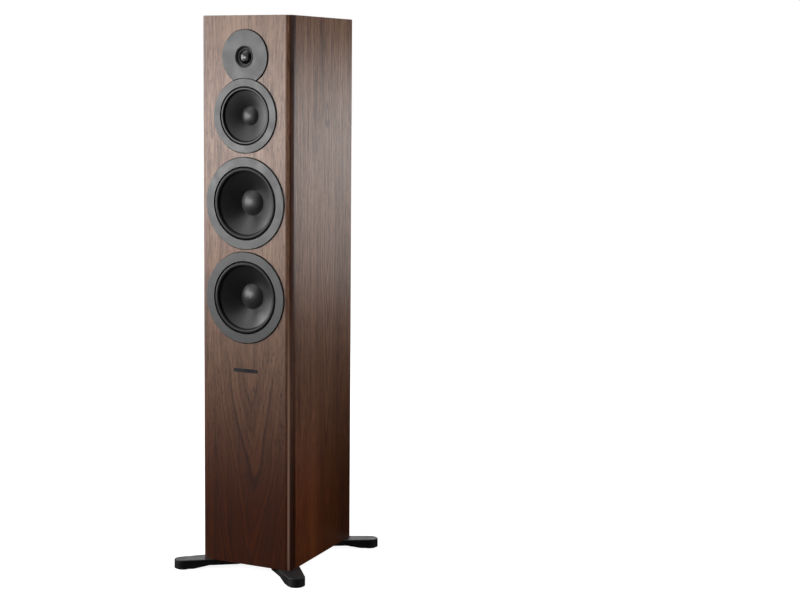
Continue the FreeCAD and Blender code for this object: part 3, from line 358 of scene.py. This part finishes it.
def rubber(name, node, foot_in, foot_out, crest_highlight_colour, crest_highlight_share):
    """Rubber roll: black in its valleys, with a painted highlight along its crest."""
    m = Mat(name)
    m.axes = m.split()
    r = ringed(m, node)
    middle = (foot_in + foot_out) / 2
    reach = (foot_out - foot_in) / 2 * crest_highlight_share
    off = m.math("ABSOLUTE", m.math("SUBTRACT", r, middle))
    dust = m.noise((1400, 1400, 1400), detail=2.0)
    # painted highlight: a paler band along the roll's crest
    crest_highlight = m.mix(m.span(off, reach * 0.35, reach), crest_highlight_colour, BLACK)
    m.put("Base Color", m.mix(m.math("MULTIPLY", dust, 0.4), crest_highlight, BLACK))
    m.put("Roughness", m.span(dust, 0.3, 0.7, 0.40, 0.48))
    m.put("Specular IOR Level", 0.22)
    m.bump(dust, 0.15, 0.00003)
    return m


def paper_cone(name, node, colour, gloss, cap_r):
    """Treated satin cone with faint fibres that run round it, and a paler cap inside cap_r."""
    m = Mat(name)
    m.axes = m.split()
    fibre = m.noise((650, 120, 650), detail=4.0, rough=0.7)
    r = ringed(m, node)
    rings = m.math("SINE", m.math("MULTIPLY", r, CONE_RING_PITCH))
    low = tuple(c * 0.75 for c in colour)
    high = tuple(c * 1.3 for c in colour)
    cap = m.span(r, cap_r - 0.0008, cap_r, 1.0, 0.0)
    m.put("Base Color", m.mix(cap, m.ramp(fibre, (0.3, low), (0.7, high)), CAP_COLOUR))
    uneven = m.span(fibre, 0.3, 0.7, gloss - 0.03, gloss + 0.04)
    m.put("Roughness", m.math("MULTIPLY_ADD", cap, CAP_ROUGHNESS - gloss, uneven))
    m.bump(m.math("MULTIPLY_ADD", rings, 0.06, fibre), 0.08, 0.0001)
    return m


def board_stuff(name):
    """Pressed fibre board: pale chips in a brown ground."""
    m = Mat(name)
    chips = m.noise((700, 700, 700), detail=2.0)
    m.put("Base Color", m.ramp(chips, (0.3, srgb(122, 92, 62)), (0.7, srgb(176, 142, 102))))
    m.put("Roughness", m.span(chips, 0.3, 0.7, 0.7, 0.85))
    m.bump(chips, 0.3, 0.0003)
    return m


def woven(name, colour, gloss):
    """Treated cloth: warp and weft as two sets of fine ridges."""
    m = Mat(name)
    axes = m.split()
    warp = m.math("SINE", m.math("MULTIPLY", axes[0], CLOTH_PITCH))
    weft = m.math("SINE", m.math("MULTIPLY", axes[2], CLOTH_PITCH))
    cloth = m.math("MULTIPLY_ADD", m.math("MULTIPLY", warp, weft), 0.5, 0.5)
    m.put("Base Color", m.ramp(cloth, (0.0, tuple(c * 0.6 for c in colour)), (1.0, colour)))
    m.put("Roughness", m.span(cloth, 0.0, 1.0, gloss + 0.08, gloss))
    m.bump(cloth, 0.12, 0.0001)
    return m


FINISHES = {
    "badge": wear("badge_metal", srgb(34, 34, 36), 0.08, 0.34, metallic=0.5, strength=0.08),
    "basket": wear("cast_basket", srgb(30, 30, 32), 0.25, 0.5, relief=0.0001),
    "motor": wear("motor_plating", srgb(150, 150, 148), 0.12, 0.36, metallic=0.9),
    "surround": wear("rubber_roll", srgb(24, 24, 25), 0.18, 0.38, grain=1600.0),
    "spider": woven("spider_cloth", srgb(196, 150, 62), 0.55),
    "cone": wear("cone_plain", srgb(24, 24, 25), 0.2, 0.34),
    "coil": wear("copper_winding", srgb(184, 104, 58), 0.2, 0.35, metallic=0.9),
    "dome": woven("dome_fabric", (0.006, 0.006, 0.0065), 0.12),
    "chamber_cup": wear("chamber_plastic", srgb(26, 26, 28), 0.2, 0.5),
    "port": wear("port_plastic", srgb(20, 20, 21), 0.2, 0.46),
    "terminal": wear("terminal_plastic", srgb(22, 22, 23), 0.2, 0.42),
    "post_metal": wear("post_gold", srgb(214, 172, 96), 0.08, 0.24, metallic=1.0),
    "knob_red": wear("knob_red_plastic", srgb(150, 22, 20), 0.12, 0.3),
    "knob_black": wear("knob_black_plastic", srgb(18, 18, 19), 0.15, 0.3),
    "circuit_board": wear("board_green", srgb(26, 84, 52), 0.2, 0.45),
    "components": wear("component_film", srgb(140, 112, 40), 0.3, 0.4),
    "cable": wear("cable_sleeve", srgb(120, 30, 26), 0.2, 0.4),
    "screw": wear("blackened_steel", srgb(36, 36, 38), 0.2, 0.36, metallic=0.8),
    "foot": wear("satin_casting", srgb(20, 19, 19), 0.22, 0.50, grain=1400.0, relief=0.00006),
    "stud": wear("bright_steel", srgb(168, 168, 170), 0.1, 0.28, metallic=1.0),
    "pad": wear("pad_rubber", srgb(16, 16, 16), 0.2, 0.6),
    "board": board_stuff("pressed_board"),
}

THROAT_R = 0.0218                        # the tweeter's face plate is black inside this
TWEETER_GREY = (62, 63, 62)
OPENINGS = {"midrange": 0.0579, "woofer_upper": 0.0729, "woofer_lower": 0.0729}   # trim rings' openings
CONES = {"midrange": 0.0494, "woofer_upper": 0.0620, "woofer_lower": 0.0620}      # where the rolls begin
ROLL_GAP = 0.0006                        # the roll's foot to the trim ring's opening and to the cone
PAINT_INSET = 0.0004                     # the grey paint stops this far outside a trim ring's opening
# painted highlight on each roll's crest: its colour and how much of the roll it spans
CREST_HIGHLIGHTS = {"midrange": ((0.17, 0.17, 0.17), 0.50), "woofer_upper": ((0.030, 0.030, 0.031), 0.9),
                 "woofer_lower": ((0.024, 0.024, 0.025), 0.9)}
# painted shade: the lower woofer's trim ring gets a darker grey than the same ring above it
TRIM_GREYS_WITH_SHADE = {"midrange": (72, 73, 72), "woofer_upper": (74, 75, 74), "woofer_lower": (58, 59, 58)}
CONE_COLOUR = (0.016, 0.016, 0.0165)
CAP_RADII = {"midrange": 0.0190, "woofer_upper": 0.0256, "woofer_lower": 0.0256}
CONE_ROUGHNESS = {"midrange": 0.44, "woofer_upper": 0.33, "woofer_lower": 0.33}

OWN = {
    "front_baffle": front_veneer(),
    "left_side_panel": side_veneer("walnut_left", 3.1, 0.03, 0.25),
    "right_side_panel": side_veneer("walnut_right", 7.7, 0.035, 0.27),
    "rear_panel": plain_veneer("walnut_rear", 5.3),
    "top_panel": plain_veneer("walnut_top", 9.9),
    "tweeter_faceplate": trim_paint("trim_paint_tweeter", "tweeter_dome", THROAT_R, TWEETER_GREY),
}
for driver, opening in OPENINGS.items():
    OWN[driver + "_trim_ring"] = trim_paint("trim_paint_" + driver, driver + "_trim_ring",
                                            opening + PAINT_INSET, TRIM_GREYS_WITH_SHADE[driver])
    OWN[driver + "_cone"] = paper_cone("cone_" + driver, driver + "_cone", CONE_COLOUR,
                                       CONE_ROUGHNESS[driver], CAP_RADII[driver])
    crest_highlight, share = CREST_HIGHLIGHTS[driver]
    OWN[driver + "_surround"] = rubber("rubber_" + driver, driver + "_cone", CONES[driver] + ROLL_GAP,
                                       opening - ROLL_GAP, crest_highlight, share)


def paint_nodes():
    """Gives every CAD node its own finish, or that of the slot which its packed material names."""
    for name, piece in NODES.items():
        for place in piece.material_slots:
            finish = OWN.get(name) or FINISHES[place.material.name.split(".")[0]]
            place.material = finish.material


paint_nodes()

# ------------------------------------------------------------------ surrounds that bend with their cones

RUBBER_THICK = 0.0008
LIP_REACH = 0.0045           # the outer lip goes this far in under the trim ring
ROLL_STEPS = 28
ROUND_STEPS = 168


def roll_section(node, foot_in, foot_out):
    """The roll's section as (radius, y) points, front skin and then back skin."""
    low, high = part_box(node)
    back = high[1]
    lip = back - RUBBER_THICK
    half, rise = (foot_out - foot_in) / 2, lip - low[1]
    bend = (half ** 2 + rise ** 2) / 2 / rise
    middle = (foot_in + foot_out) / 2

    def skin(y, r, step):
        reach = math.asin(min(1.0, (half - step) / r))
        turns = [reach * (2 * i / ROLL_STEPS - 1) for i in range(ROLL_STEPS + 1)]
        arc = [(middle + r * math.sin(a), low[1] + bend - r * math.cos(a)) for a in turns]
        return [(foot_in - ROLL_GAP, y)] + arc + [(foot_out + LIP_REACH, y)]

    front = skin(lip, bend, 0.0)
    rear = skin(back, bend - RUBBER_THICK, RUBBER_THICK)
    return front + rear[::-1]


def ring_mesh(name, section, mid):
    """A closed section of (radius, y) points, turned about a driver's axis into a smooth ring."""
    shape = bmesh.new()
    hoops = []
    for i in range(ROUND_STEPS):
        a = 2 * math.pi * i / ROUND_STEPS
        hoops.append([shape.verts.new((mid.x + r * math.cos(a), y, mid.z + r * math.sin(a)))
                      for r, y in section])
    for one, two in zip(hoops, hoops[1:] + hoops[:1]):
        for k in range(len(section)):
            j = (k + 1) % len(section)
            shape.faces.new((one[k], one[j], two[j], two[k]))
    bmesh.ops.recalc_face_normals(shape, faces=shape.faces)
    mesh = bpy.data.meshes.new(name)
    shape.to_mesh(mesh)
    shape.free()
    mesh.shade_smooth()
    return mesh


def bend_by_radius(mesh, mid, foot_in, foot_out):
    """The cone's share in each point's motion: none at the outer foot, all of it at the inner one."""
    spots = np.empty(len(mesh.vertices) * 3)
    mesh.vertices.foreach_get("co", spots)
    spots = spots.reshape(-1, 3)
    r = np.hypot(spots[:, 0] - mid.x, spots[:, 2] - mid.z)
    share = np.clip((foot_out - r) / (foot_out - foot_in), 0, 1)
    share = share * share * (3 - 2 * share)
    mesh.attributes["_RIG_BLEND"].data.foreach_set("value", share.astype(np.float32))


def bending_surround(driver):
    """One half-roll, held by the cabinet at its outer foot and by the cone at its inner one."""
    node = driver + "_surround"
    foot_in, foot_out = CONES[driver] + ROLL_GAP, OPENINGS[driver] - ROLL_GAP
    mid = centre(driver + "_cone")
    mesh = ring_mesh(driver + "_rubber_surround", roll_section(node, foot_in, foot_out), mid)
    mesh.materials.append(OWN[node].material)
    piece = bpy.data.objects.new(driver + "_rubber_surround", mesh)
    bpy.context.scene.collection.objects.link(piece)
    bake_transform(piece, "root", driver + "_diaphragm", start=(mid.x + foot_out, mid.y, mid.z),
             end=(mid.x + foot_in, mid.y, mid.z))
    bend_by_radius(mesh, mid, foot_in, foot_out)
    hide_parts(node)


for driver in OPENINGS:
    bending_surround(driver)

# ------------------------------------------------------------------ stage

FLOOR_HALF = 30.0
FLOOR_GLOW = 0.92            # with the lamps' light on it the floor is as white as the background
FLAG_R = 1.25                # black flag round the foot of the object, as a studio uses
FLAG_HEIGHT = 0.42
FLAG_SIDES = 72
FLAG_LIFT = 0.0005           # above the floor
SCREEN_FROM, SCREEN_TO = math.radians(-85), math.radians(48)    # the flag is a tall screen here
SCREEN_HEIGHT = 2.4
HOOD_FROM, HOOD_TO = math.radians(48), math.radians(110)        # behind the object it floats from here up
HOOD_FOOT = 1.02


def staged(name, shape, material):
    """A mesh that belongs to the stage."""
    mesh = bpy.data.meshes.new(name)
    shape.to_mesh(mesh)
    shape.free()
    mesh.materials.append(material)
    piece = bpy.data.objects.new(name, mesh)
    bpy.context.scene.collection.objects.link(piece)
    return piece


def floor():
    """A white floor: the camera sees it as the white background with the object's soft shadow on it."""
    m = Mat("floor_white")
    m.put("Base Color", (0.55, 0.55, 0.55))
    m.put("Roughness", 0.9)
    rays = m.node("ShaderNodeLightPath").outputs
    seen = m.math("MAXIMUM", rays["Is Camera Ray"],
                  m.math("MAXIMUM", rays["Is Glossy Ray"], rays["Is Transmission Ray"]))
    m.put("Emission Color", (1, 1, 1, 1))
    m.put("Emission Strength", m.math("MULTIPLY", seen, FLOOR_GLOW))
    shape = bmesh.new()
    bmesh.ops.create_grid(shape, x_segments=1, y_segments=1, size=FLOOR_HALF)
    staged("floor", shape, m.material)


def flag():
    """A black dish round the object's foot and a hood behind it, which only reflections see."""
    m = Mat("flag_black")
    m.put("Base Color", m.ramp(m.noise((9, 9, 9)), (0.3, (0.002, 0.002, 0.002)),
                               (0.7, (0.004, 0.004, 0.004))))
    m.put("Roughness", 1.0)
    m.put("Specular IOR Level", 0.0)
    shape = bmesh.new()
    turns = [2 * math.pi * i / FLAG_SIDES - math.pi for i in range(FLAG_SIDES)]
    tops = [SCREEN_HEIGHT if SCREEN_FROM <= a <= SCREEN_TO else FLAG_HEIGHT for a in turns]
    rows = [[shape.verts.new((FLAG_R * math.cos(a), FLAG_R * math.sin(a), z)) for a, z in zip(turns, heights)]
            for heights in ([FLAG_LIFT] * FLAG_SIDES, tops)]
    shape.faces.new(rows[0])
    for i in range(FLAG_SIDES):
        j = (i + 1) % FLAG_SIDES
        shape.faces.new((rows[0][i], rows[0][j], rows[1][j], rows[1][i]))
        if HOOD_FROM <= turns[i] <= HOOD_TO:
            shape.faces.new([shape.verts.new((FLAG_R * math.cos(a), FLAG_R * math.sin(a), z))
                             for a, z in ((turns[i], HOOD_FOOT), (turns[j], HOOD_FOOT),
                                          (turns[j], SCREEN_HEIGHT), (turns[i], SCREEN_HEIGHT))])
    piece = staged("flag", shape, m.material)
    piece.visible_camera = False
    piece.visible_diffuse = False
    piece.visible_shadow = False
    piece.visible_transmission = False


floor()
flag()

# ------------------------------------------------------------------ lights


def area_light(name, place, aim, size, radiance):
    """A soft white rectangular lamp at place that faces aim, as bright as radiance."""
    lamp = bpy.data.lights.new(name, "AREA")
    lamp.shape = "RECTANGLE"
    lamp.size, lamp.size_y = size
    lamp.energy = radiance * math.pi * size[0] * size[1]
    holder = bpy.data.objects.new(name, lamp)
    holder.location = place
    holder.rotation_euler = (Vector(aim) - Vector(place)).to_track_quat("-Z", "Y").to_euler()
    holder.visible_camera = False
    bpy.context.scene.collection.objects.link(holder)


area_light("key", (-1.35, -2.10, 0.84), (0, -0.15, 0.78), (1.0, 0.52), 14.5)
area_light("left", (-2.1, -1.1, 0.95), (0, 0, 0.8), (1.2, 1.2), 6.0)
area_light("high", (-1.2, -1.25, 2.55), (0, -0.1, 0.7), (1.1, 1.1), 1.6)
area_light("side", (2.5, 0.45, 1.2), (0, 0, 0.8), (1.4, 1.6), 3.4)
area_light("rear", (0.65, 2.45, 0.80), (0.1, 0, 0.8), (1.2, 0.40), 1.9)
area_light("back", (-1.3, 2.5, 1.5), (0, 0, 0.8), (1.6, 1.6), 2.0)


FILL, BACKGROUND = 0.14, 1.0    # the world's strength as a light, and as it is seen and mirrored


def sky():
    """A plain even fill, and a white background for camera, glossy and transmission rays."""
    world = bpy.data.worlds.new("studio")
    world.use_nodes = True
    bpy.context.scene.world = world
    nodes, links = world.node_tree.nodes, world.node_tree.links
    glow = nodes["Background"]
    rays = nodes.new("ShaderNodeLightPath").outputs
    last = rays["Is Camera Ray"]
    for other in ("Is Glossy Ray", "Is Transmission Ray"):
        either = nodes.new("ShaderNodeMath")
        either.operation = "MAXIMUM"
        links.new(last, either.inputs[0])
        links.new(rays[other], either.inputs[1])
        last = either.outputs[0]
    level = nodes.new("ShaderNodeMapRange")
    level.inputs["To Min"].default_value = FILL
    level.inputs["To Max"].default_value = BACKGROUND
    links.new(last, level.inputs["Value"])
    links.new(level.outputs[0], glow.inputs["Strength"])
    glow.inputs["Color"].default_value = (1, 1, 1, 1)


sky()

# ------------------------------------------------------------------ camera

CAMERA_PLACE = (2.0799, -3.2566, 1.0031)
CAMERA_YAW = math.radians(29.073)
CAMERA_PITCH = math.radians(-6.044)
CAMERA_ROLL = math.radians(0.447)
CAMERA_LENS = 84.87
CAMERA_SHIFT_Y = -0.03


def camera():
    """The photograph's viewpoint: right of centre, at about the midrange's height, turned slightly down."""
    forward = Vector((-math.sin(CAMERA_YAW) * math.cos(CAMERA_PITCH),
                      math.cos(CAMERA_YAW) * math.cos(CAMERA_PITCH), math.sin(CAMERA_PITCH)))
    level = Vector((math.cos(CAMERA_YAW), math.sin(CAMERA_YAW), 0))
    upright = level.cross(forward)
    right = level * math.cos(CAMERA_ROLL) + upright * math.sin(CAMERA_ROLL)
    up = upright * math.cos(CAMERA_ROLL) - level * math.sin(CAMERA_ROLL)
    turn = Matrix((right, up, -forward)).transposed()
    data = bpy.data.cameras.new("camera")
    data.sensor_width = 36.0
    data.lens = CAMERA_LENS
    data.shift_y = CAMERA_SHIFT_Y
    eye = bpy.data.objects.new("camera", data)
    eye.matrix_world = Matrix.Translation(CAMERA_PLACE) @ turn.to_4x4()
    bpy.context.scene.collection.objects.link(eye)
    bpy.context.scene.camera = eye


camera()
bpy.context.scene.view_settings.view_transform = "Standard"
